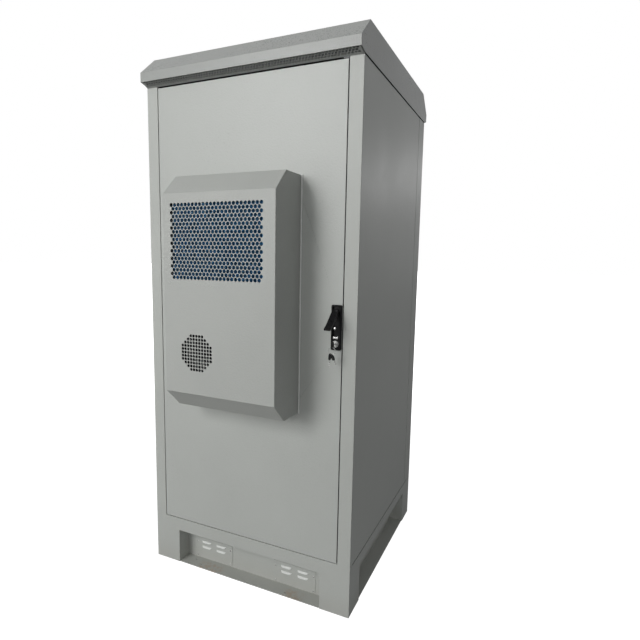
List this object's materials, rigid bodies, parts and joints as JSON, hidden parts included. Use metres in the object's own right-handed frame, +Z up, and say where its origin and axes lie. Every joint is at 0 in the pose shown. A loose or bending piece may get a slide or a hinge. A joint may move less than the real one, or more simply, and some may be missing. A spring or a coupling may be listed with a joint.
{
  "type": "roadside utility cabinet",
  "caption": "Free-standing outdoor equipment cabinet with ventilated roof, plinth, three-point latch and an air conditioner hung in its door.",
  "frame": {"origin": "middle of the cabinet's footprint on the ground, in the plane of the base flange's underside, centred between the anchor holes", "axes": "+Z up; the door with its air conditioner faces -Y; +X to the right as seen by someone who faces the door"},
  "size_m": [0.903, 1.067, 2.08],
  "materials": {
    "frame_paint": "textured powder coat",
    "door_paint": "textured powder coat",
    "roof_paint": "textured powder coat",
    "cover_paint": "textured powder coat",
    "zinc_sheet": "zinc-coated sheet",
    "bright_steel": "bright plated",
    "black_handle": "satin black",
    "black_plastic": "moulded",
    "rubber": "matt",
    "coil_fins": "coated fins",
    "copper": "bare copper",
    "compressor_paint": "black enamel"
  },
  "bodies": {
    "cabinet": {"front_frame": "frame_paint", "rear_frame": "frame_paint", "plinth_side_right": "frame_paint", "plinth_side_left": "frame_paint", "kick_panel_front": "frame_paint", "kick_panel_rear": "frame_paint", "base_flange": "frame_paint", "floor_plate": "zinc_sheet", "entry_plates": "zinc_sheet", "vent_covers": "frame_paint", "vent_screws": "bright_steel", "side_panel_right": "frame_paint", "side_panel_left": "frame_paint", "rear_panel": "frame_paint", "hexagon_screws": "bright_steel", "top_plate": "zinc_sheet", "roof_hood": "roof_paint", "eave_strips": "roof_paint", "roof_supports": "zinc_sheet", "rack_rails": "zinc_sheet", "rail_brackets": "zinc_sheet", "ground_bar": "copper", "ground_bar_posts": "black_plastic", "hinge_brackets": "bright_steel", "hinge_pins": "bright_steel", "rod_keepers": "zinc_sheet"},
    "door": {"door_panel": "door_paint", "door_gasket": "rubber", "door_stiffeners": "zinc_sheet", "hinge_leaves": "bright_steel", "handle_base": "black_handle", "latch_case": "zinc_sheet", "rod_guides": "black_plastic", "lock_barrel": "bright_steel", "ac_cover": "cover_paint", "ac_tray": "zinc_sheet", "ac_partition": "zinc_sheet", "condenser_coil": "coil_fins", "unit_brackets": "zinc_sheet", "ac_base_pan": "zinc_sheet", "evaporator_coil": "coil_fins", "condenser_fan_frame": "black_plastic", "supply_fan_frame": "black_plastic", "compressor": "compressor_paint", "compressor_mounts": "rubber", "control_box": "zinc_sheet"},
    "condenser_fan": {"condenser_fan": "black_plastic"},
    "supply_fan": {"supply_fan": "black_plastic"},
    "handle": {"handle_hub": "black_handle", "pinion": "zinc_sheet", "lever_pin": "bright_steel"},
    "lever": {"lever": "black_handle"},
    "upper_rod": {"upper_rod": "zinc_sheet"},
    "lower_rod": {"lower_rod": "zinc_sheet"},
    "key": {"lock_plug": "bright_steel", "door_key": "black_plastic"},
    "lock_tongue": {"lock_tongue": "bright_steel"},
    "key_ring": {"key_ring": "bright_steel"},
    "spare_key_left": {"spare_key_left": "black_plastic"},
    "spare_key_right": {"spare_key_right": "black_plastic"}
  },
  "joints": [
    {"name": "door_swing", "type": "hinge", "parent": "cabinet", "child": "door", "pos_m": [-0.3885, -0.423, 1.08], "axis": [0, 0, -1], "range_deg": [0, 110]},
    {"name": "handle_turn", "type": "hinge", "parent": "door", "child": "handle", "pos_m": [0.3775, -0.43, 1.134], "axis": [0, 1, 0], "range_deg": [0, 90]},
    {"name": "lever_lift", "type": "hinge", "parent": "handle", "child": "lever", "pos_m": [0.3775, -0.4415, 1.134], "axis": [-1, 0, 0], "range_deg": [-50, 10]},
    {"name": "upper_rod_slide", "type": "slide", "parent": "door", "child": "upper_rod", "axis": [0, 0, 1], "range_m": [-0.0158, 0]},
    {"name": "lower_rod_slide", "type": "slide", "parent": "door", "child": "lower_rod", "axis": [0, 0, 1], "range_m": [0, 0.0158]},
    {"name": "key_turn", "type": "hinge", "parent": "door", "child": "key", "pos_m": [0.3775, -0.442, 1.019], "axis": [0, 1, 0], "range_deg": [0, 90]},
    {"name": "tongue_slide", "type": "slide", "parent": "door", "child": "lock_tongue", "axis": [0, 0, -1], "range_m": [0, 0.0041]},
    {"name": "keys_swing", "type": "hinge", "parent": "key", "child": "key_ring", "pos_m": [0.3775, -0.472, 1.012], "axis": [1, 0, 0], "range_deg": [-40, 15]},
    {"name": "left_key_swing", "type": "hinge", "parent": "key_ring", "child": "spare_key_left", "pos_m": [0.371, -0.472, 0.98774], "axis": [0.9986, 0, -0.0523], "range_deg": [-30, 12]},
    {"name": "right_key_swing", "type": "hinge", "parent": "key_ring", "child": "spare_key_right", "pos_m": [0.37659, -0.472, 0.98603], "axis": [0.8829, 0, 0.4695], "range_deg": [-30, 12]},
    {"name": "condenser_fan_spin", "type": "hinge", "parent": "door", "child": "condenser_fan", "pos_m": [-0.089, -0.58, 0.968], "axis": [0, -1, 0], "continuous": true},
    {"name": "supply_fan_spin", "type": "hinge", "parent": "door", "child": "supply_fan", "pos_m": [0, -0.35, 0.96], "axis": [0, 1, 0], "continuous": true}
  ],
  "couplings": [
    {"joint": "upper_rod_slide", "follows": "handle_turn", "m_per_rad": -0.01},
    {"joint": "lower_rod_slide", "follows": "handle_turn", "m_per_rad": 0.01},
    {"joint": "tongue_slide", "follows": "key_turn", "m_per_rad": 0.0025465}
  ]
}
